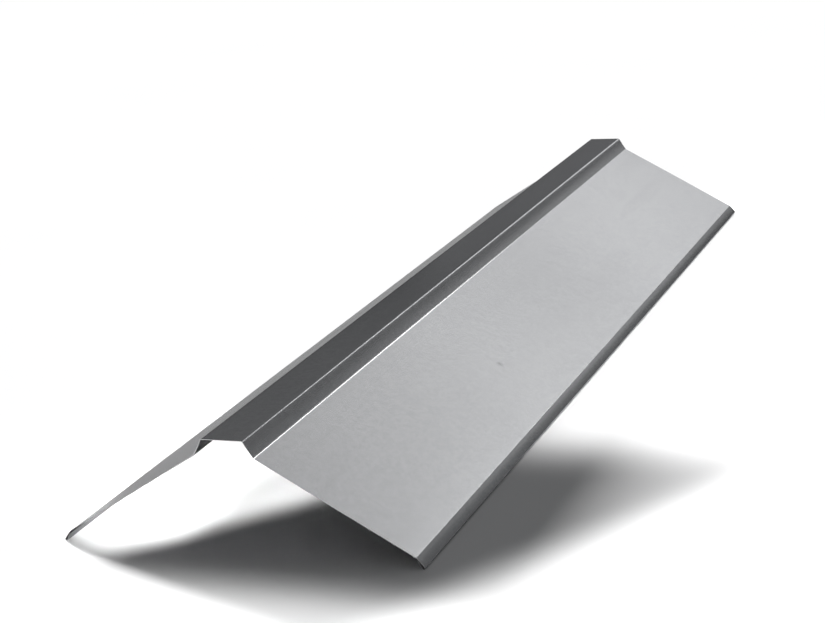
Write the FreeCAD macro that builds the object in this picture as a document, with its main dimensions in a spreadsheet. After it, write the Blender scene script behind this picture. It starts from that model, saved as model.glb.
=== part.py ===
import FreeCAD, Part
import math
import os
from enum import IntEnum

import Sketcher
from FreeCAD import Vector

# A roof ridge cap folded from one strip of zinc-coated sheet steel. X runs across the ridge, Y along
# it and Z up, with the origin on the floor under the middle of the cap. Lengths are in millimetres
# and slopes in degrees below the horizontal.
SIZES = {
    "cap_length": 1000.0,
    "sheet_thickness": 0.5,
    # flat widths between the bends
    "top_flat": 34.0,
    "step_flat": 13.2,
    "flange_flat": 143.4,
    # the lip is as wide as the hem folded behind it and the margin above that hem
    "hem_return": 6.5,
    "lip_margin": 2.3,
    "step_slope": 60.0,
    "flange_slope": 30.0,
    "lip_slope": 50.0,
    # inside radii of the bends, and the gap from the hem's free edge to the lip
    "shoulder_radius": 1.5,
    "foot_radius": 4.0,
    "drip_radius": 2.5,
    "hem_radius": 0.75,
    "hem_mouth": 0.4,
}

# the sketch counts a line's two ends and an arc's centre from one, and its own axes below zero
Point = IntEnum("Point", ["START", "END", "CENTRE"])
Axis = IntEnum("Axis", {"FLOOR": -1, "MIDDLE": -2})


def driving_sheet(doc):
    """The cap's sizes, one to a row, each under its own alias."""
    sheet = doc.addObject("Spreadsheet::Sheet", "Sizes")
    for row, (alias, value) in enumerate(SIZES.items(), start=1):
        sheet.set(f"A{row}", alias)
        sheet.set(f"B{row}", str(value))
        sheet.setAlias(f"B{row}", alias)
    doc.recompute()
    return sheet


def flat_runs(sheet):
    """Flats from the middle of the top out to the hem: name, width and the expression for it."""
    return [
        ("top", sheet.top_flat / 2, "Sizes.top_flat / 2"),
        ("step", sheet.step_flat, "Sizes.step_flat"),
        ("flange", sheet.flange_flat, "Sizes.flange_flat"),
        ("lip", sheet.lip_margin + sheet.hem_return, "Sizes.lip_margin + Sizes.hem_return"),
        ("hem", sheet.hem_return, "Sizes.hem_return"),
    ]


def bends(sheet):
    """Bends between the flats: name, turn in radians (negative downwards) and inside radius.

    The fold of the hem goes past a half turn until its free edge is a mouth's width from the lip.
    """
    step = math.radians(sheet.step_slope)
    flange = math.radians(sheet.flange_slope)
    lip = math.radians(sheet.lip_slope)
    closing = (sheet.hem_mouth - sheet.hem_radius) / math.hypot(sheet.hem_radius, sheet.hem_return)
    lean = math.acos(closing) - math.atan2(sheet.hem_return, sheet.hem_radius)
    return [
        ("shoulder", -step, sheet.shoulder_radius),
        ("foot", step - flange, sheet.foot_radius),
        ("drip", flange - lip, sheet.drip_radius),
        ("hem", -math.pi - lean, sheet.hem_radius),
    ]


TURNS = {
    "shoulder": "Sizes.step_slope * 1 deg",
    "foot": "(Sizes.step_slope - Sizes.flange_slope) * 1 deg",
    "drip": "(Sizes.lip_slope - Sizes.flange_slope) * 1 deg",
}


def below(heading):
    """Unit vector from the weather side towards the underside of sheet that runs along heading."""
    return Vector(math.sin(heading), -math.cos(heading), 0)


def bend_arc(centre, radius, heading, turn):
    """Arc about centre that takes the sheet from heading round by turn, drawn anticlockwise."""
    side = math.copysign(math.pi / 2, -turn)
    first, last = sorted((heading + side, heading + turn + side))
    return Part.ArcOfCircle(Part.Circle(centre, Vector(0, 0, 1), radius), first, last)


def draw_strip(sheet, start):
    """Lines and arcs of the sheet's weather side and underside, walked outwards from start."""
    thickness = sheet.sheet_thickness
    weather, under = [], []
    place, heading = start, 0.0
    turns = bends(sheet) + [None]
    for (_, width, _), bend in zip(flat_runs(sheet), turns):
        drop = below(heading) * thickness
        along = Vector(math.cos(heading), math.sin(heading), 0)
        after = place + along * width
        weather.append(Part.LineSegment(place, after))
        under.append(Part.LineSegment(place + drop, after + drop))
        if bend is None:
            return weather, under
        _, turn, radius = bend
        centre_depth = radius + thickness if turn < 0 else -radius
        centre = after + below(heading) * centre_depth
        weather.append(bend_arc(centre, abs(centre_depth), heading, turn))
        under.append(bend_arc(centre, abs(centre_depth - thickness), heading, turn))
        heading += turn
        place = centre - below(heading) * centre_depth


def bind(sketch, name, expression, *terms):
    """Add a named size to the sketch and drive it from the sheet."""
    index = sketch.addConstraint(Sketcher.Constraint(*terms))
    sketch.renameConstraint(index, name)
    sketch.setExpression(f"Constraints.{name}", expression)


def join_smoothly(sketch, chain, turns):
    """Join each flat of a chain to the bend before it and the bend after it, without a kink."""
    for place, (_, turn, _) in enumerate(turns):
        before, bend, after = chain[2 * place:2 * place + 3]
        entry, leave = (Point.END, Point.START) if turn < 0 else (Point.START, Point.END)
        sketch.addConstraint(Sketcher.Constraint("Tangent", before, Point.END, bend, entry))
        sketch.addConstraint(Sketcher.Constraint("Tangent", bend, leave, after, Point.START))


def half_section(body, sheet):
    """Sketch of one half of the section: a strip of even thickness from the middle to the hem."""
    sketch = body.newObject("Sketcher::SketchObject", "HalfSection")
    sketch.AttachmentSupport = [(origin_plane(body, "XZ_Plane"), "")]
    sketch.MapMode = "FlatFace"
    turns = bends(sheet)
    runs = flat_runs(sheet)
    thickness = sheet.sheet_thickness
    fold = draw_strip(sheet, Vector(0, 0, 0))[0][-2]
    start = Vector(0, fold.Radius - fold.Center.y, 0)
    weather_lines, under_lines = draw_strip(sheet, start)
    weather = [sketch.addGeometry(line, False) for line in weather_lines]
    under = [sketch.addGeometry(line, False) for line in under_lines]
    middle = sketch.addGeometry(Part.LineSegment(under_lines[0].StartPoint, start), False)
    edge = sketch.addGeometry(Part.LineSegment(weather_lines[-1].EndPoint, under_lines[-1].EndPoint), False)

    # the strip is closed at the middle of the ridge and square across the hem's free edge
    for first, first_point, second, second_point in (
        (middle, Point.START, under[0], Point.START),
        (middle, Point.END, weather[0], Point.START),
        (edge, Point.START, weather[-1], Point.END),
        (edge, Point.END, under[-1], Point.END),
    ):
        sketch.addConstraint(Sketcher.Constraint("Coincident", first, first_point, second, second_point))
    sketch.addConstraint(Sketcher.Constraint("PointOnObject", weather[0], Point.START, Axis.MIDDLE))
    sketch.addConstraint(Sketcher.Constraint("Vertical", middle))
    sketch.addConstraint(Sketcher.Constraint("Perpendicular", edge, weather[-1]))
    bind(sketch, "thickness", "Sizes.sheet_thickness", "Distance", middle, thickness)

    # both faces follow the same bends
    for chain in (weather, under):
        sketch.addConstraint(Sketcher.Constraint("Horizontal", chain[0]))
        join_smoothly(sketch, chain, turns)
    for place, (name, turn, radius) in enumerate(turns):
        outer, inner = (weather, under) if turn < 0 else (under, weather)
        bend = inner[2 * place + 1]
        backing = outer[2 * place + 1]
        sketch.addConstraint(Sketcher.Constraint("Coincident", bend, Point.CENTRE, backing, Point.CENTRE))
        sketch.addConstraint(Sketcher.Constraint("Parallel", weather[2 * place + 2], under[2 * place + 2]))
        bind(sketch, f"{name}_radius", f"Sizes.{name}_radius", "Radius", bend, radius)
        if name in TURNS:
            bind(sketch, f"{name}_turn", TURNS[name], "Angle", bend, abs(turn))
    for place, (name, width, expression) in enumerate(runs):
        bind(sketch, f"{name}_width", expression, "Distance", weather[2 * place], width)

    # the hem closes to its mouth behind the lip, and its fold stands on the floor
    lip_under = under[-3]
    bind(sketch, "mouth", "Sizes.hem_mouth", "Distance", under[-1], Point.END, lip_under, sheet.hem_mouth)
    sketch.addConstraint(Sketcher.Constraint("Tangent", weather[-2], Axis.FLOOR))
    return sketch


def origin_plane(body, role):
    """The body's own origin plane with this role."""
    return next(plane for plane in body.Origin.OriginFeatures if plane.Role == role)


def ridge_cap(doc, sheet):
    """The whole cap: half of the section drawn out to the cap's length, and mirrored at the ridge."""
    body = doc.addObject("PartDesign::Body", "RidgeCap")
    body.Label = "ridge_cap"
    sketch = half_section(body, sheet)
    doc.recompute()
    half = body.newObject("PartDesign::Pad", "HalfCap")
    half.Profile = sketch
    half.SideType = "Symmetric"
    half.setExpression("Length", "Sizes.cap_length")
    doc.recompute()
    whole = body.newObject("PartDesign::Mirrored", "WholeCap")
    whole.Originals = [half]
    whole.MirrorPlane = (origin_plane(body, "YZ_Plane"), [""])
    whole.Refine = True
    body.Tip = whole
    doc.recompute()
    if not sketch.FullyConstrained:
        raise RuntimeError("the half section still has a free size")
    return body


def check(doc, parts):
    """Stop if anything in the document failed, or if a part isn't one sound solid."""
    for thing in doc.Objects:
        if {"Invalid", "Error"} & set(thing.State):
            raise RuntimeError(f"{thing.Label} didn't build: {thing.State}")
    for part in parts:
        if part.Shape.isNull() or not part.Shape.isValid() or len(part.Shape.Solids) != 1:
            raise RuntimeError(f"{part.Label} isn't one sound solid")


def main():
    doc = FreeCAD.newDocument("ridge_cap")
    sheet = driving_sheet(doc)
    parts = [ridge_cap(doc, sheet)]
    check(doc, parts)
    os.makedirs("parts", exist_ok=True)
    for part in parts:
        part.Shape.exportStep(f"parts/{part.Label}.step")
        box = part.Shape.BoundBox
        print(part.Label, "box", box.XLength, box.YLength, box.ZLength, "from z", box.ZMin)
        print(part.Label, "volume", part.Shape.Volume, "faces", len(part.Shape.Faces))


main()
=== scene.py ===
# %% [markdown]
# A roof ridge cap is one strip of zinc-coated sheet steel, folded lengthwise so that it sheds water
# to both sides of a roof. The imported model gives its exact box. Everything below is made in metres in
# that same frame: X across the ridge, Y along it and Z up from the floor.

import math

import bmesh
import bpy
from mathutils import Matrix, Quaternion, Vector, noise


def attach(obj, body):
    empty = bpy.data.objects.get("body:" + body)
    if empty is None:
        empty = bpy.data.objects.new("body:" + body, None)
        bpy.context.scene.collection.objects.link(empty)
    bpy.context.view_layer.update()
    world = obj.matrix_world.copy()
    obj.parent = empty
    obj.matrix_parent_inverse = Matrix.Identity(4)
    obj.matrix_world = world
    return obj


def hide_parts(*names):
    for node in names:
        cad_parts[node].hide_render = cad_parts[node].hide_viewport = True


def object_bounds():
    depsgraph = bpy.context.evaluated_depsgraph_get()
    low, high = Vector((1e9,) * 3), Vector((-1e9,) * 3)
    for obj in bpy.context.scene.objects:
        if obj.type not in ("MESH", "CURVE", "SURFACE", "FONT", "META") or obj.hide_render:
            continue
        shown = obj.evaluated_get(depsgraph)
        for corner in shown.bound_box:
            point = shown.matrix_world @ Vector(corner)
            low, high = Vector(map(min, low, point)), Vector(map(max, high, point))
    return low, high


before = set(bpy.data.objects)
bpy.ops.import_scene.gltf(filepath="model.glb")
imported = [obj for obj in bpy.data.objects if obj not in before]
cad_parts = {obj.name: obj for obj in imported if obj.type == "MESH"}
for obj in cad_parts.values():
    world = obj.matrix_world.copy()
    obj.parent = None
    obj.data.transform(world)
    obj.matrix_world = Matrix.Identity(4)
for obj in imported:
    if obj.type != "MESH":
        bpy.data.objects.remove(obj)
cad_low, cad_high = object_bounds()
scene = bpy.context.scene
print("cap box in metres", [round(v, 4) for v in (*cad_low, *cad_high)])

# %% [markdown]
# The camera stands in front of the near end, to the right of the ridge and above it, and leans a little
# to one side. A camera could be aimed with a constraint, but its lean and its exact turn matter here,
# so its three axes are worked out and set as a rotation. The lens follows from the picture's width.

# %% Camera
PICTURE_WIDTH = 825
FOCAL_LENGTH_PIXELS = 1825.0
SENSOR_WIDTH_MM = 36.0
CAMERA_YAW = math.radians(24.49)
CAMERA_PITCH = math.radians(17.02)
CAMERA_LEAN = math.radians(6.35)
EYE_FROM_NEAR_RIDGE = Vector((0.679, -1.1165, 0.4817))

near_ridge = Vector((0.0, cad_low.y, cad_high.z))
forward = Vector((
    -math.sin(CAMERA_YAW) * math.cos(CAMERA_PITCH),
    math.cos(CAMERA_YAW) * math.cos(CAMERA_PITCH),
    -math.sin(CAMERA_PITCH),
))
level_right = Vector((math.cos(CAMERA_YAW), math.sin(CAMERA_YAW), 0.0))
level_down = forward.cross(level_right)
right = level_right * math.cos(CAMERA_LEAN) + level_down * math.sin(CAMERA_LEAN)
down = level_down * math.cos(CAMERA_LEAN) - level_right * math.sin(CAMERA_LEAN)

camera = bpy.data.objects.new("camera", bpy.data.cameras.new("camera"))
camera.data.sensor_fit = "HORIZONTAL"
camera.data.sensor_width = SENSOR_WIDTH_MM
camera.data.lens = FOCAL_LENGTH_PIXELS / PICTURE_WIDTH * SENSOR_WIDTH_MM
camera.location = near_ridge + EYE_FROM_NEAR_RIDGE
camera.rotation_euler = Matrix((right, -down, -forward)).transposed().to_euler()
scene.collection.objects.link(camera)
scene.camera = camera
print("camera at", [round(v, 3) for v in camera.location], "lens mm", round(camera.data.lens, 1))

# %% [markdown]
# Half of the section is a chain of flats: the top, the steep step, the wide flange and the lip. A folding
# machine starts from sharp fold lines and leaves a round bend at each. A drawn profile curve could give
# that too, but sharp corners are easy to measure, so the mesh starts with one vertex at each of them.
# Each flat is lengthened by what its bends take off its ends, the setbacks. Sizes are of the weather side.

# %% Sharp corners of the half section
SHEET = 0.0005
TOP_FLAT = 0.034
STEP_FLAT = 0.0132
FLANGE_FLAT = 0.1434
LIP_FLAT = 0.0088
STEP_SLOPE = math.radians(60)
FLANGE_SLOPE = math.radians(30)
LIP_SLOPE = math.radians(50)
SHOULDER_RADIUS = 0.0020
FOOT_RADIUS = 0.0040
DRIP_RADIUS = 0.0030

shoulder_setback = SHOULDER_RADIUS * math.tan(STEP_SLOPE / 2)
foot_setback = FOOT_RADIUS * math.tan((STEP_SLOPE - FLANGE_SLOPE) / 2)
drip_setback = DRIP_RADIUS * math.tan((LIP_SLOPE - FLANGE_SLOPE) / 2)


def downhill(slope):
    """Unit vector across the cap, away from the ridge and down by this slope."""
    return Vector((math.cos(slope), 0.0, -math.sin(slope)))


def outward(slope):
    """Unit vector out of the weather side of a flat with this slope."""
    return Vector((math.sin(slope), 0.0, math.cos(slope)))


middle = near_ridge.copy()
shoulder = middle + downhill(0.0) * (TOP_FLAT / 2 + shoulder_setback)
foot = shoulder + downhill(STEP_SLOPE) * (shoulder_setback + STEP_FLAT + foot_setback)
drip = foot + downhill(FLANGE_SLOPE) * (foot_setback + FLANGE_FLAT + drip_setback)
lip_end = drip + downhill(LIP_SLOPE) * (drip_setback + LIP_FLAT)
print("half width to the lip's end", round(lip_end.x, 4), "of", round(cad_high.x, 4))

# %% [markdown]
# The chain is drawn out along the ridge into a sheet, and each fold line is bevelled into its bend. A
# curve with a profile could give the same sheet, but the bevel keeps the flats flat and the bends even.
# The ends are trimmed by a few thousandths of a millimetre, so that rounding never takes them past the box.

# %% Draw out the sheet and round its bends
BEND_SEGMENTS = 8
END_TRIM = 0.000005
SAME_PLACE = SHEET / 10
cap_length = cad_high.y - cad_low.y

bm = bmesh.new()
corners = [bm.verts.new(place) for place in (middle, shoulder, foot, drip, lip_end)]
chain = [bm.edges.new(pair) for pair in zip(corners, corners[1:])]
drawn = bmesh.ops.extrude_edge_only(bm, edges=chain)["geom"]
far_verts = [part for part in drawn if isinstance(part, bmesh.types.BMVert)]
bmesh.ops.translate(bm, verts=far_verts, vec=(0.0, cap_length - 2 * END_TRIM, 0.0))
bmesh.ops.translate(bm, verts=bm.verts[:], vec=(0.0, END_TRIM, 0.0))


def lengthwise_edges(near):
    """Edges that run along the ridge and start at a place on the near end."""
    return [
        edge for edge in bm.edges
        if abs(edge.verts[0].co.y - edge.verts[1].co.y) > cap_length / 2
        and (Vector((edge.verts[0].co.x, near.y, edge.verts[0].co.z)) - near).length < SAME_PLACE
    ]


for corner, setback in ((shoulder, shoulder_setback), (foot, foot_setback), (drip, drip_setback)):
    bmesh.ops.bevel(
        bm, geom=lengthwise_edges(corner), offset=setback, offset_type="OFFSET",
        segments=BEND_SEGMENTS, profile=0.5, affect="EDGES", material=-1,
    )
print("sheet with round bends:", len(bm.faces), "faces")

# %% [markdown]
# The lip's edge is hemmed: folded back behind itself, so that no raw edge shows and the lip is stiff. The
# fold could be one more bevel, but it turns by more than half a circle, which a bevel can't do. A spin
# turns the edge round the fold, a little past half a turn, and a last flat closes in behind the lip.

# %% Fold the hem
HEM_RADIUS = 0.00125
HEM_RETURN = 0.0065
HEM_TURN = math.radians(189.65)
HEM_STEPS = 12

behind_lip = Vector((-math.sin(LIP_SLOPE), 0.0, -math.cos(LIP_SLOPE)))
hem_centre = lip_end + behind_lip * HEM_RADIUS
lip_edge = lengthwise_edges(lip_end)
spun = bmesh.ops.spin(
    bm, geom=lip_edge + list(lip_edge[0].verts), cent=hem_centre, axis=(0.0, 1.0, 0.0),
    angle=HEM_TURN, steps=HEM_STEPS, use_merge=False, use_duplicate=False,
)["geom_last"]
hem_edge = [part for part in spun if isinstance(part, bmesh.types.BMEdge)]
folded = bmesh.ops.extrude_edge_only(bm, edges=hem_edge)["geom"]
hem_verts = [part for part in folded if isinstance(part, bmesh.types.BMVert)]
bmesh.ops.translate(bm, verts=hem_verts, vec=downhill(LIP_SLOPE + HEM_TURN) * HEM_RETURN)
lowest = min(vert.co.z for vert in bm.verts)
print("hem folded; its lowest line is", round(lowest * 1000, 3), "mm above the floor")

# %% [markdown]
# The other half is a mirror image. A Mirror modifier could make it, but the unevenness that follows is
# different on each side, so the halves become one mesh now. The sheet is then divided along its length
# and across its flats, which leaves enough vertices for that unevenness.

# %% Mirror and divide
LENGTH_CUTS = 79
FLANGE_CUTS = 15
NARROW_CUTS = 5
WIDE_FLAT = 0.1
NARROW_FLAT = 0.005
MERGE_DISTANCE = SHEET / 50

whole_half = bm.verts[:] + bm.edges[:] + bm.faces[:]
bmesh.ops.mirror(bm, geom=whole_half, axis="X", merge_dist=MERGE_DISTANCE)
bmesh.ops.remove_doubles(bm, verts=bm.verts[:], dist=MERGE_DISTANCE)


def runs_along(edge):
    """Whether an edge runs along the ridge."""
    return abs(edge.verts[0].co.y - edge.verts[1].co.y) > SHEET


lengthwise = [edge for edge in bm.edges if runs_along(edge)]
bmesh.ops.subdivide_edges(bm, edges=lengthwise, cuts=LENGTH_CUTS, use_grid_fill=True)
wide = (FLANGE_CUTS, WIDE_FLAT, cap_length)
narrow = (NARROW_CUTS, NARROW_FLAT, WIDE_FLAT)
for cuts, shortest, longest in (wide, narrow):
    crossing = [edge for edge in bm.edges if not runs_along(edge)]
    crossing = [edge for edge in crossing if shortest < edge.calc_length() < longest]
    bmesh.ops.subdivide_edges(bm, edges=crossing, cuts=cuts, use_grid_fill=True)
bmesh.ops.recalc_face_normals(bm, faces=bm.faces[:])
ridge_face = max(bm.faces, key=lambda face: face.calc_center_median().z)
if ridge_face.normal.z < 0:
    bmesh.ops.reverse_faces(bm, faces=bm.faces[:])
bm.normal_update()
print("whole sheet:", len(bm.faces), "faces, ridge faces up", ridge_face.normal.z > 0)

# %% [markdown]
# Thin sheet is never quite flat. Folding leaves the narrow step a little hollow and the lip a little
# full, and the wide flange lifts and sinks by a hair along its length. These forms are too fine for
# the part's source, but they are what turns the reflections in the metal from stripes into soft
# gradients. A displacement texture could do it, yet moving the vertices keeps it in the mesh. The first
# cell finds the flat under a vertex, and the second gives how far the vertex moves.

# %% Find the flats
ON_FLAT = SHEET / 20
EDGE_SLACK = 0.001

step_start = shoulder + downhill(STEP_SLOPE) * shoulder_setback
flange_start = foot + downhill(FLANGE_SLOPE) * foot_setback
lip_start = drip + downhill(LIP_SLOPE) * drip_setback
hem_start = hem_centre + outward(LIP_SLOPE + HEM_TURN) * HEM_RADIUS
flats = {
    "top": (middle, 0.0, TOP_FLAT / 2),
    "step": (step_start, STEP_SLOPE, STEP_FLAT),
    "flange": (flange_start, FLANGE_SLOPE, FLANGE_FLAT),
    "lip": (lip_start, LIP_SLOPE, LIP_FLAT),
    "hem": (hem_start, LIP_SLOPE + HEM_TURN, HEM_RETURN),
}


def flat_under(place):
    """Name of the flat that a place lies on and how far across it is, or None inside a bend."""
    for name, (start, slope, width) in flats.items():
        offset = Vector((abs(place.x) - start.x, 0.0, place.z - start.z))
        across = offset.dot(downhill(slope)) / width
        proud = abs(offset.dot(outward(slope)))
        if proud < ON_FLAT and -EDGE_SLACK < across < 1.0 + EDGE_SLACK:
            return name, across
    return None


on_flats = sum(1 for vert in bm.verts if flat_under(vert.co))
print("vertices on the flats:", on_flats, "of", len(bm.verts))

# %% How uneven each flat is
STEP_HOLLOW = 0.00020
LIP_FULLNESS = 0.00016
FLANGE_LIFT = 0.00025
LIFTS_PER_METRE = 7.0
SIDES_APART = 5.0


def unevenness(name, across, side, along):
    """How far a place on a flat stands proud of it; the flats' edges stay where they are."""
    arch = 4.0 * across * (1.0 - across)
    if name == "step":
        return -STEP_HOLLOW * arch
    if name == "lip":
        return LIP_FULLNESS * arch
    if name == "flange":
        ripple = noise.noise(Vector((across + SIDES_APART * side, along * LIFTS_PER_METRE, 0.0)))
        return FLANGE_LIFT * arch * ripple
    return 0.0


print("step hollow in mm at its middle:", round(-unevenness("step", 0.5, 1.0, 0.0) * 1000, 3))

# %% [markdown]
# The bends carry painted light in the zinc's colour. A painted highlight lies along the foot of the step,
# strongest at the near end and gone from three fifths of the length along. The drip bends get a little
# painted shade and the hem behind the lip a little more. Each could be a material of its own, but the paint
# fades along a bend, so it is a number on each vertex: up to 1 is painted highlight, below 0 is painted
# shade.

# %% Mark the bends and move the flats
# Painted highlight on the foot bend: full up to this share of the length, gone from that one.
HIGHLIGHT_FULL_UNTIL = 0.28
HIGHLIGHT_GONE_FROM = 0.62
# Painted shade on the drip bends and on the hem behind the lip.
DRIP_PAINTED_SHADE = -0.35
HEM_PAINTED_SHADE = -0.5


def painted_bend_light(place):
    """How much painted highlight (up to 1) or painted shade (below 0) a bend gets at this place."""
    if abs(place.x) > (foot.x + drip.x) / 2:
        return DRIP_PAINTED_SHADE if place.z > lip_end.z else 0.0
    past_fold = Vector((abs(place.x) - foot.x, 0.0, place.z - foot.z)).dot(downhill(FLANGE_SLOPE))
    if past_fold < 0.0:
        return 0.0
    along = (place.y - cad_low.y) / cap_length
    fade = (HIGHLIGHT_GONE_FROM - along) / (HIGHLIGHT_GONE_FROM - HIGHLIGHT_FULL_UNTIL)
    return min(max(fade, 0.0), 1.0)


# Each vertex gets its number of painted highlight or painted shade.
bend_light_layer = bm.verts.layers.float.new("bend")
for vert in bm.verts:
    found = flat_under(vert.co)
    if found is None:
        vert[bend_light_layer] = painted_bend_light(vert.co)
        continue
    name, across = found
    # The hem gets painted shade.
    if name == "hem":
        vert[bend_light_layer] = HEM_PAINTED_SHADE
    side = math.copysign(1.0, vert.co.x)
    lift = outward(flats[name][1]) * unevenness(name, across, side, vert.co.y)
    vert.co += Vector((lift.x * side, 0.0, lift.z))
marked = sum(1 for vert in bm.verts if vert[bend_light_layer] != 0.0)
print("vertices with painted highlight or shade:", marked, "of", len(bm.verts))

# %% [markdown]
# So far the sheet has no thickness. It could be thickened in the mesh, but Solidify does it on one side
# only, with the gauge of the real sheet, so the weather side stays where the frame has it. It also puts
# the underside and the cut ends in materials of their own. A tiny bevel then breaks the sheared edges,
# which catches a thread of light as cut sheet does.

# %% Give the sheet its thickness
INNER_SIDE = -1.0
UNDERSIDE_SLOT = 1
SHEARED_EDGE_SLOT = 2
EDGE_BREAK = 0.00006
EDGE_SEGMENTS = 2
SHEARED_EDGE_ANGLE = math.radians(40)

mesh = bpy.data.meshes.new("cap_sheet")
bm.to_mesh(mesh)
bm.free()
mesh.shade_smooth()
cap = bpy.data.objects.new("cap_sheet", mesh)
scene.collection.objects.link(cap)
gauge = cap.modifiers.new("sheet gauge", "SOLIDIFY")
gauge.thickness = SHEET
gauge.offset = INNER_SIDE
gauge.use_even_offset = True
gauge.use_rim = True
gauge.material_offset = UNDERSIDE_SLOT
gauge.material_offset_rim = SHEARED_EDGE_SLOT
broken_edge = cap.modifiers.new("broken edges", "BEVEL")
broken_edge.width = EDGE_BREAK
broken_edge.segments = EDGE_SEGMENTS
broken_edge.limit_method = "ANGLE"
broken_edge.angle_limit = SHEARED_EDGE_ANGLE
broken_edge.harden_normals = True
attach(cap, "root")
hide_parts("ridge_cap")
print("cap_sheet:", len(mesh.vertices), "vertices before its thickness")

# %% [markdown]
# The finishes share three patterns, so each is a node group that is built once: the crystals of the zinc
# coat, the fine lines that the rolls leave along the sheet, and the clouds and smears of the workshop.
# The patterns read Object coordinates in metres, so they keep their real size on every face. Nodes could
# be placed one by one in each material, but a few helpers keep the trees short and alike.

# %% Helpers for the node trees
def add_node(tree, kind, **fields):
    """A new shader node of a kind, with its own fields set."""
    node = tree.nodes.new("ShaderNode" + kind)
    for field, value in fields.items():
        setattr(node, field, value)
    return node


def feed(tree, target, source):
    """Give an input socket a number, or join it to another node's output socket."""
    if isinstance(source, bpy.types.NodeSocket):
        tree.links.new(source, target)
    else:
        target.default_value = source


def maths(tree, operation, first, second):
    """Result socket of one sum, each side a number or a socket."""
    node = add_node(tree, "Math", operation=operation)
    feed(tree, node.inputs[0], first)
    feed(tree, node.inputs[1], second)
    return node.outputs[0]


def mixed(tree, first, second, share):
    """Result socket of two patterns together, of which the second makes up this share."""
    rest = maths(tree, "MULTIPLY", first, 1.0 - share)
    part = maths(tree, "MULTIPLY", second, share)
    return maths(tree, "ADD", rest, part)


def new_group(name, inputs, outputs):
    """An empty node group with its named values in and out; gives the tree and its two ends."""
    tree = bpy.data.node_groups.new(name, "ShaderNodeTree")
    for label, value in inputs.items():
        socket = tree.interface.new_socket(label, in_out="INPUT", socket_type="NodeSocketFloat")
        socket.default_value = value
    for label in outputs:
        tree.interface.new_socket(label, in_out="OUTPUT", socket_type="NodeSocketFloat")
    return tree, tree.nodes.new("NodeGroupInput"), tree.nodes.new("NodeGroupOutput")


print("helpers:", ", ".join(helper.__name__ for helper in (add_node, feed, maths, mixed, new_group)))

# %% [markdown]
# Zinc freezes on the steel in flat crystals, the spangle. On this kind of sheet they are a few millimetres
# wide and very faint. A Voronoi texture splits the surface into cells like that and gives each cell its
# own shade, and a finer noise that starts afresh in each cell stands for the feathery growth inside it.

# %% Zinc spangle group
CRYSTALS_PER_METRE = 300.0
FEATHERS_PER_METRE = 1100.0
FEATHER_DETAIL = 2.0
FEATHER_SHARE = 0.3

crystal_count = {"Crystals per Metre": CRYSTALS_PER_METRE}
spangle, ends_in, ends_out = new_group("zinc_spangle", crystal_count, ["Facet"])
place = add_node(spangle, "TexCoord")
crystals = add_node(spangle, "TexVoronoi", feature="F1")
feathers = add_node(spangle, "TexNoise")
shifted = add_node(spangle, "VectorMath", operation="ADD")
shade = add_node(spangle, "SeparateColor")
spangle.links.new(place.outputs["Object"], crystals.inputs["Vector"])
spangle.links.new(ends_in.outputs["Crystals per Metre"], crystals.inputs["Scale"])
spangle.links.new(place.outputs["Object"], shifted.inputs[0])
spangle.links.new(crystals.outputs["Color"], shifted.inputs[1])
spangle.links.new(shifted.outputs[0], feathers.inputs["Vector"])
feathers.inputs["Scale"].default_value = FEATHERS_PER_METRE
feathers.inputs["Detail"].default_value = FEATHER_DETAIL
spangle.links.new(crystals.outputs["Color"], shade.inputs["Color"])
facet = mixed(spangle, shade.outputs[0], feathers.outputs[0], FEATHER_SHARE)
spangle.links.new(facet, ends_out.inputs["Facet"])
print("node group", spangle.name)

# %% [markdown]
# The rolls of the mill leave very fine lines along the sheet. A wave texture would make them too regular,
# so they are a noise that is stretched along the ridge until its grains turn into lines.

# %% Rolling lines group
LINES_PER_METRE = 1500.0
LINE_STRETCH = (1.0, 0.004, 1.0)
LINE_DETAIL = 3.0


def stretched_noise(tree, stretch, scale, detail):
    """Factor socket of a noise on Object coordinates that are scaled along each axis."""
    coordinates = add_node(tree, "TexCoord")
    mapping = add_node(tree, "Mapping")
    mapping.inputs["Scale"].default_value = stretch
    texture = add_node(tree, "TexNoise")
    tree.links.new(coordinates.outputs["Object"], mapping.inputs["Vector"])
    tree.links.new(mapping.outputs["Vector"], texture.inputs["Vector"])
    feed(tree, texture.inputs["Scale"], scale)
    texture.inputs["Detail"].default_value = detail
    return texture.outputs[0]


rolling, ends_in, ends_out = new_group("rolling_lines", {"Lines per Metre": LINES_PER_METRE}, ["Line"])
lines = stretched_noise(rolling, LINE_STRETCH, ends_in.outputs["Lines per Metre"], LINE_DETAIL)
rolling.links.new(lines, ends_out.inputs["Line"])
print("node group", rolling.name)

# %% [markdown]
# Storage and handling leave broad dull clouds and a few long smears on the coat. Both could be painted on
# a picture, but a noise at two sizes has no seams and needs no file. The smears keep only its peaks.

# %% Workshop marks group
CLOUDS_PER_METRE = 6.0
CLOUD_STRETCH = (1.0, 0.6, 1.0)
CLOUD_DETAIL = 4.0
CLOUD_RANGE = (0.3, 0.7)
SMEARS_PER_METRE = 45.0
SMEAR_STRETCH = (1.0, 0.12, 1.0)
SMEAR_DETAIL = 2.0
SMEAR_RANGE = (0.56, 0.74)
FULL_RANGE = (0.0, 1.0)


def remap(tree, value, old_range, new_range):
    """Result socket of a value moved from one range to another, and held inside it."""
    node = add_node(tree, "MapRange")
    feed(tree, node.inputs["Value"], value)
    feed(tree, node.inputs["From Min"], old_range[0])
    feed(tree, node.inputs["From Max"], old_range[1])
    feed(tree, node.inputs["To Min"], new_range[0])
    feed(tree, node.inputs["To Max"], new_range[1])
    return node.outputs["Result"]


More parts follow.
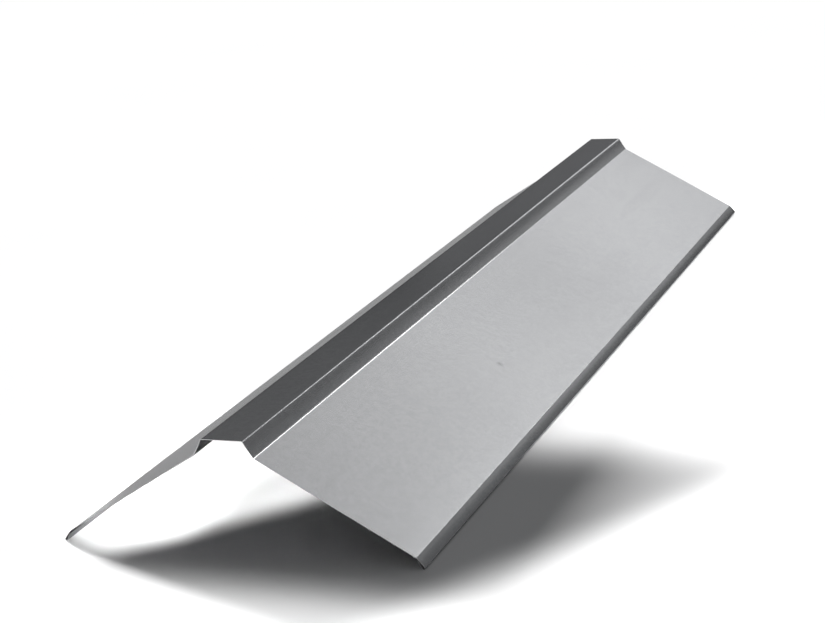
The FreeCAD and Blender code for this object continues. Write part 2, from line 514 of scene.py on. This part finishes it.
cloud_count = {"Clouds per Metre": CLOUDS_PER_METRE}
marks, ends_in, ends_out = new_group("workshop_marks", cloud_count, ["Cloud", "Smear"])
clouds = stretched_noise(marks, CLOUD_STRETCH, ends_in.outputs["Clouds per Metre"], CLOUD_DETAIL)
smears = stretched_noise(marks, SMEAR_STRETCH, SMEARS_PER_METRE, SMEAR_DETAIL)
marks.links.new(remap(marks, clouds, CLOUD_RANGE, FULL_RANGE), ends_out.inputs["Cloud"])
marks.links.new(remap(marks, smears, SMEAR_RANGE, FULL_RANGE), ends_out.inputs["Smear"])
print("node group", marks.name)

# %% [markdown]
# The weather side is bright zinc with a satin sheen. One texture could stand for all of it, but the real
# coat is several things at once, so the groups are laid over each other. Each moves the tone or the gloss
# by a few hundredths only, because the real sheet looks almost even.

# %% Patterns of the zinc together
LINE_SHARE = 0.5
CLOUD_SHARE = 0.3
SMEAR_SHARE = 0.4


def placed(tree, group, **values):
    """A node group put into a material, with its own values."""
    node = add_node(tree, "Group")
    node.node_tree = group
    for label, value in values.items():
        node.inputs[label.replace("_", " ")].default_value = value
    return node


def patterned_metal(tree, crystals_per_metre):
    """Tone, dullness and height sockets of zinc: spangle, rolling lines, clouds and smears together."""
    facet = placed(tree, spangle, Crystals_per_Metre=crystals_per_metre).outputs["Facet"]
    line = placed(tree, rolling).outputs["Line"]
    shop = placed(tree, marks)
    height = mixed(tree, facet, line, LINE_SHARE)
    tone = mixed(tree, height, shop.outputs["Cloud"], CLOUD_SHARE)
    dull = mixed(tree, tone, shop.outputs["Smear"], SMEAR_SHARE)
    return tone, dull, height


def new_finish(name, metallic):
    """A node material and its shader, bare metal (1) or a coat of paint (0)."""
    finish = bpy.data.materials.new(name)
    finish.use_nodes = True
    shader = finish.node_tree.nodes["Principled BSDF"]
    shader.inputs["Metallic"].default_value = metallic
    return finish, finish.node_tree, shader


METAL = 1.0
zinc, tree, shader = new_finish("zinc_weather_side", METAL)
tone, dull, height = patterned_metal(tree, CRYSTALS_PER_METRE)
print("zinc patterns use", len(tree.nodes), "nodes")

# %% [markdown]
# The tone of the zinc follows those patterns. The number on each vertex lightens the foot bend with painted
# highlight and darkens the drip bends and the hem with painted shade, and one small rub mark on the right
# flange is a soft dark spot round a point.

# %% Tone of the zinc
PATTERN_RANGE = (0.2, 0.8)
EVEN_TONE = (0.44, 0.56)
BEND_LIGHT_TONE = 0.5
RUB_MARK_ON_FLANGE = (0.0982, -0.1642, 0.0400)
RUB_MARK_RADIUS = 0.0042
RUB_MARK_DEPTH = 0.20
DARK_ZINC = (0.28, 0.285, 0.29)
EVEN_ZINC = (0.60, 0.605, 0.615)
BRIGHT_ZINC = (0.96, 0.96, 0.965)


def tone_ramp(tree, tone, dark, even, bright):
    """Colour socket that runs from a dark to a bright shade as the tone goes from 0 to 1."""
    ramp = add_node(tree, "ValToRGB")
    ramp.color_ramp.elements[0].color = (*dark, 1.0)
    ramp.color_ramp.elements[1].color = (*bright, 1.0)
    ramp.color_ramp.elements.new(0.5).color = (*even, 1.0)
    tree.links.new(tone, ramp.inputs["Fac"])
    return ramp.outputs["Color"]


bend = add_node(tree, "Attribute", attribute_name="bend").outputs["Fac"]
even_tone = remap(tree, tone, PATTERN_RANGE, EVEN_TONE)
# The vertex number adds painted highlight and painted shade to the tone.
painted_light_tone = maths(tree, "ADD", even_tone, maths(tree, "MULTIPLY", bend, BEND_LIGHT_TONE))
where = add_node(tree, "TexCoord")
apart = add_node(tree, "VectorMath", operation="DISTANCE")
apart.inputs[1].default_value = RUB_MARK_ON_FLANGE
tree.links.new(where.outputs["Object"], apart.inputs[0])
rub = remap(tree, apart.outputs["Value"], (0.0, RUB_MARK_RADIUS), (RUB_MARK_DEPTH, 0.0))
marked_tone = maths(tree, "SUBTRACT", painted_light_tone, rub)
colour = tone_ramp(tree, marked_tone, DARK_ZINC, EVEN_ZINC, BRIGHT_ZINC)
tree.links.new(colour, shader.inputs["Base Color"])
print("rub mark radius in mm", RUB_MARK_RADIUS * 1000)

# %% [markdown]
# The gloss decides how sharp the room shows in the metal. Satin zinc blurs it, and the foot bend with the
# painted highlight blurs it less. The spangle and the lines stand up by a hair, which a Bump node gives
# without more mesh.
# Bare metal turns bright at a glancing angle. This sheet is to stay dark there, so the edge tint is low.

# %% Gloss and relief of the zinc
ZINC_ROUGHNESS = (0.23, 0.27)
BEND_SMOOTHING = 0.10
RELIEF_STRENGTH = 0.03
RELIEF_DEPTH = 0.00002
EDGE_TINT = (0.25, 0.25, 0.255, 1.0)

satin = remap(tree, dull, PATTERN_RANGE, ZINC_ROUGHNESS)
roughness = maths(tree, "SUBTRACT", satin, maths(tree, "MULTIPLY", bend, BEND_SMOOTHING))
tree.links.new(roughness, shader.inputs["Roughness"])
relief = add_node(tree, "Bump")
relief.inputs["Strength"].default_value = RELIEF_STRENGTH
relief.inputs["Distance"].default_value = RELIEF_DEPTH
tree.links.new(height, relief.inputs["Height"])
tree.links.new(relief.outputs["Normal"], shader.inputs["Normal"])
shader.inputs["Specular Tint"].default_value = EDGE_TINT
mesh.materials.append(zinc)
print("finish", zinc.name)

# %% [markdown]
# The underside carries a thin matt backing coat, as roofing sheet has on the side that is never seen, and
# it is painted almost black as painted shade for the space under the cap. Bare zinc would show that space
# lit. The spangle and the clouds below it show through faintly.

# %% Underside finish
PAINT = 0.0
BACKING_GLOSS = 0.1
BACKING_CRYSTALS_PER_METRE = 240.0
BACKING_ROUGHNESS = (0.5, 0.62)
# Near-black shades of the coat: painted shade for the space under the cap.
DARK_SHADED_BACKING = (0.07, 0.071, 0.073)
EVEN_SHADED_BACKING = (0.085, 0.086, 0.088)
PALE_SHADED_BACKING = (0.10, 0.101, 0.103)

underside, tree, shader = new_finish("backing_coat_painted_shade", PAINT)
shader.inputs["Specular IOR Level"].default_value = BACKING_GLOSS
tone, dull = patterned_metal(tree, BACKING_CRYSTALS_PER_METRE)[:2]
colour = tone_ramp(tree, tone, DARK_SHADED_BACKING, EVEN_SHADED_BACKING, PALE_SHADED_BACKING)
tree.links.new(colour, shader.inputs["Base Color"])
tree.links.new(remap(tree, dull, PATTERN_RANGE, BACKING_ROUGHNESS), shader.inputs["Roughness"])
mesh.materials.append(underside)
print("finish", underside.name)

# %% [markdown]
# The shears leave the steel bare at the ends and at the hem's free edge: a bright smear of metal with a
# duller torn grain in it. The edge is only half a millimetre wide, so a fine noise is enough for the grain,
# and the clouds of the workshop marks, made much smaller, give the torn patches.

# %% Sheared edge finish
GRAINS_PER_METRE = 3500.0
GRAIN_STRETCH = (1.0, 1.0, 1.0)
GRAIN_DETAIL = 3.0
PATCHES_PER_METRE = 40.0
PATCH_SHARE = 0.4
EDGE_ROUGHNESS = (0.30, 0.50)
DARK_STEEL = (0.36, 0.36, 0.365)
EVEN_STEEL = (0.50, 0.50, 0.505)
BRIGHT_STEEL = (0.64, 0.64, 0.645)

sheared, tree, shader = new_finish("sheared_steel_edge", METAL)
grain = stretched_noise(tree, GRAIN_STRETCH, GRAINS_PER_METRE, GRAIN_DETAIL)
patches = placed(tree, marks, Clouds_per_Metre=PATCHES_PER_METRE).outputs["Cloud"]
torn = mixed(tree, grain, patches, PATCH_SHARE)
colour = tone_ramp(tree, torn, DARK_STEEL, EVEN_STEEL, BRIGHT_STEEL)
tree.links.new(colour, shader.inputs["Base Color"])
tree.links.new(remap(tree, torn, PATTERN_RANGE, EDGE_ROUGHNESS), shader.inputs["Roughness"])
mesh.materials.append(sheared)
print("finish", sheared.name)

# %% [markdown]
# The floor is a wide pale disc of matt paint, faintly mottled. A plane would do as well, but a disc has no
# corners that could show far away.

# %% Floor
FLOOR_RADIUS = 14.0
FLOOR_SIDES = 96
FLOOR_ROUGHNESS = 0.9
NO_GLOSS = 0.0
MOTTLES_PER_METRE = 3.0
MOTTLE_STRETCH = (1.0, 1.0, 1.0)
MOTTLE_DETAIL = 2.0
DARK_FLOOR = (0.85, 0.85, 0.85)
EVEN_FLOOR = (0.86, 0.86, 0.86)
PALE_FLOOR = (0.87, 0.87, 0.87)

floor_bm = bmesh.new()
bmesh.ops.create_circle(floor_bm, cap_ends=True, segments=FLOOR_SIDES, radius=FLOOR_RADIUS)
floor_mesh = bpy.data.meshes.new("floor")
floor_bm.to_mesh(floor_mesh)
floor_bm.free()
floor = bpy.data.objects.new("floor", floor_mesh)
scene.collection.objects.link(floor)
floor_paint, tree, shader = new_finish("floor_paint", PAINT)
mottle = stretched_noise(tree, MOTTLE_STRETCH, MOTTLES_PER_METRE, MOTTLE_DETAIL)
tree.links.new(tone_ramp(tree, mottle, DARK_FLOOR, EVEN_FLOOR, PALE_FLOOR), shader.inputs["Base Color"])
shader.inputs["Roughness"].default_value = FLOOR_ROUGHNESS
shader.inputs["Specular IOR Level"].default_value = NO_GLOSS
floor_mesh.materials.append(floor_paint)
print("floor radius in metres", FLOOR_RADIUS)

# %% [markdown]
# The floor has lamps of its own, linked to the floor alone, so it can be white without a lamp more on the
# metal. One distant soft lamp comes from the back left. The cap stands in its way and throws the shadow.

# %% Lamp for the floor
FLOOR_LAMP_DIRECTION = Vector((3.1, -2.2, -1.0))
FLOOR_LAMP_BRIGHTNESS = 12.8
FLOOR_LAMP_SOFTNESS = math.radians(13)

lit_floor = bpy.data.collections.new("lit_floor")
lit_floor.objects.link(floor)
floor_lamp_data = bpy.data.lights.new("floor_lamp_left", "SUN")
floor_lamp_data.energy = FLOOR_LAMP_BRIGHTNESS
floor_lamp_data.angle = FLOOR_LAMP_SOFTNESS
floor_lamp = bpy.data.objects.new("floor_lamp_left", floor_lamp_data)
floor_lamp.rotation_euler = FLOOR_LAMP_DIRECTION.to_track_quat("-Z", "Y").to_euler()
scene.collection.objects.link(floor_lamp)
floor_lamp.light_linking.receiver_collection = lit_floor

# %% [markdown]
# That shadow alone is long and even, and this one is to be short and to fade. Several lamps round the cap
# could do it, but each would add a shadow of its own. So low soft cards light the floor right through
# the cap, because their blocker collection leaves the cap out, and each takes away a part of the shadow.
# No real lamp can do that, so from the sides the shadow looks cut short.

# %% Cards that trim the shadow
# Name: place, width, length, brightness, spread in degrees, turn in degrees.
FLOOR_CARDS = {
    "floor_card_lip": ((-0.113, -0.335, 0.2), 0.085, 0.29, 7.5, 20, 0),
    "floor_card_mouth": ((-0.066, -0.377, 0.2), 0.12, 0.27, 6.0, 20, -43),
    "floor_card_front": ((0.15, -0.66, 0.12), 0.6, 0.20, 2.8, 50, 0),
    "floor_card_far": ((0.30, 0.35, 0.12), 0.34, 1.2, 3.8, 70, 0),
    "floor_card_near": ((0.380, -0.526, 0.12), 0.3, 0.5, 3.4, 45, -33),
}


def soft_lamp(name, place, width, height, energy):
    """A rectangular soft lamp that the camera doesn't see."""
    data = bpy.data.lights.new(name, "AREA")
    data.shape = "RECTANGLE"
    data.size = width
    data.size_y = height
    data.energy = energy
    lamp = bpy.data.objects.new(name, data)
    lamp.location = place
    lamp.visible_camera = False
    scene.collection.objects.link(lamp)
    return lamp


for name, (place, width, length, brightness, spread, turn) in FLOOR_CARDS.items():
    card = soft_lamp(name, place, width, length, brightness * width * length)
    card.data.spread = math.radians(spread)
    card.rotation_euler = (0.0, 0.0, math.radians(turn))
    card.light_linking.receiver_collection = lit_floor
    card.light_linking.blocker_collection = lit_floor
print("cards low over the floor:", len(FLOOR_CARDS))

# %% [markdown]
# Metal shows the room it stands in. An image of a studio could light it, but a plain dim room with a few
# panels is easier to steer. The room itself is slightly cool, and it lies behind everything else.

# %% Room
ROOM_COLOUR = (0.97, 0.98, 1.0, 1.0)
ROOM_BRIGHTNESS = 0.135

world = bpy.data.worlds.new("dim_room")
scene.world = world
world.use_nodes = True
room = world.node_tree.nodes["Background"]
room.inputs["Color"].default_value = ROOM_COLOUR
room.inputs["Strength"].default_value = ROOM_BRIGHTNESS
print("room brightness", ROOM_BRIGHTNESS)

# %% [markdown]
# The wall of panels behind the far end is what the right flange mirrors. Three stacked panels, dimmer
# towards the top, let its tone climb slowly from the near end to the far end, where one panel would leave
# it even. They lean as the mirrored flange does. A narrow bright strip beside them draws the light line
# along the foot bend, and dim fills further out lift the step, the lip and the top.

# %% Panels behind the far end
BACK = 2.5
NEAR_THE_RIDGE = (0.05, 0.0, 0.05)
UNDER_THE_TOP = (0.0, 0.0, 0.1)
PANEL_LEAN = 16.0
FILL_LEAN = 45.0
LOW_FILL_LEAN = 56.0
UPRIGHT = 0.0

# Name: place, what it faces, width, height, brightness where 1 is white, lean in degrees.
BACK_PANELS = {
    "back_panel_low": ((0.10, BACK, 0.73), NEAR_THE_RIDGE, 1.02, 0.63, 1.40, PANEL_LEAN),
    "back_panel_middle": ((0.24, BACK, 1.29), NEAR_THE_RIDGE, 0.97, 0.55, 0.85, PANEL_LEAN),
    "back_panel_high": ((0.43, BACK, 2.05), NEAR_THE_RIDGE, 0.92, 1.02, 0.635, PANEL_LEAN),
    "back_strip": ((0.93, BACK, 1.55), NEAR_THE_RIDGE, 0.14, 1.1, 4.3, PANEL_LEAN),
    "right_fill_far": ((0.86, BACK, 0.68), NEAR_THE_RIDGE, 0.32, 0.7, 0.38, FILL_LEAN),
    "right_fill_near": ((1.37, BACK, 1.19), NEAR_THE_RIDGE, 0.32, 0.75, 0.48, FILL_LEAN),
    "right_fill_low": ((1.36, BACK, 0.75), NEAR_THE_RIDGE, 0.28, 0.75, 0.085, LOW_FILL_LEAN),
    "back_fill": ((-0.75, BACK, 0.57), UNDER_THE_TOP, 0.7, 0.6, 0.40, UPRIGHT),
    "back_fill_left": ((-1.70, BACK, 1.2), UNDER_THE_TOP, 1.2, 1.4, 0.12, UPRIGHT),
}

lit_cap = bpy.data.collections.new("lit_cap")
lit_cap.objects.link(cap)


def panel(name, place, target, width, height, brightness, lean):
    """A soft panel that lights only the cap and shows in its metal at the given brightness."""
    lamp = soft_lamp(name, place, width, height, brightness * math.pi * width * height)
    aim = (Vector(target) - Vector(place)).to_track_quat("-Z", "Y")
    lamp.rotation_euler = (aim @ Quaternion((0.0, 0.0, 1.0), math.radians(lean))).to_euler()
    lamp.light_linking.receiver_collection = lit_cap


for name, row in BACK_PANELS.items():
    panel(name, *row)
print("panels behind the far end:", len(BACK_PANELS))

# %% [markdown]
# The cap is looked at from all sides, so panels stand round it too. They could be left out for the one
# camera, but then the metal would be much darker from the front, from above and from the left and right.

# %% Panels round the cap
MIDDLE_OF_THE_CAP = (0.0, 0.0, 0.0)

# The columns are those of the panels behind the far end.
ROUND_PANELS = {
    "overhead_panel": ((0.0, 0.0, 3.0), MIDDLE_OF_THE_CAP, 2.2, 2.2, 0.85, UPRIGHT),
    "front_panel_high": ((0.0, -2.5, 2.3), MIDDLE_OF_THE_CAP, 2.4, 1.5, 0.9, UPRIGHT),
    "front_panel_low": ((0.0, -2.8, 0.8), MIDDLE_OF_THE_CAP, 5.0, 1.2, 0.6, UPRIGHT),
    "left_panel": ((-2.8, 0.0, 1.3), MIDDLE_OF_THE_CAP, 2.4, 1.6, 0.5, UPRIGHT),
    "right_panel": ((2.8, 0.0, 1.3), MIDDLE_OF_THE_CAP, 2.4, 1.6, 0.5, UPRIGHT),
}
for name, row in ROUND_PANELS.items():
    panel(name, *row)
print("panels round the cap:", len(ROUND_PANELS))

# %% [markdown]
# The Standard view shows colours as they are set, where a filmic one would grey the white floor.

# %% Colour view
scene.view_settings.view_transform = "Standard"
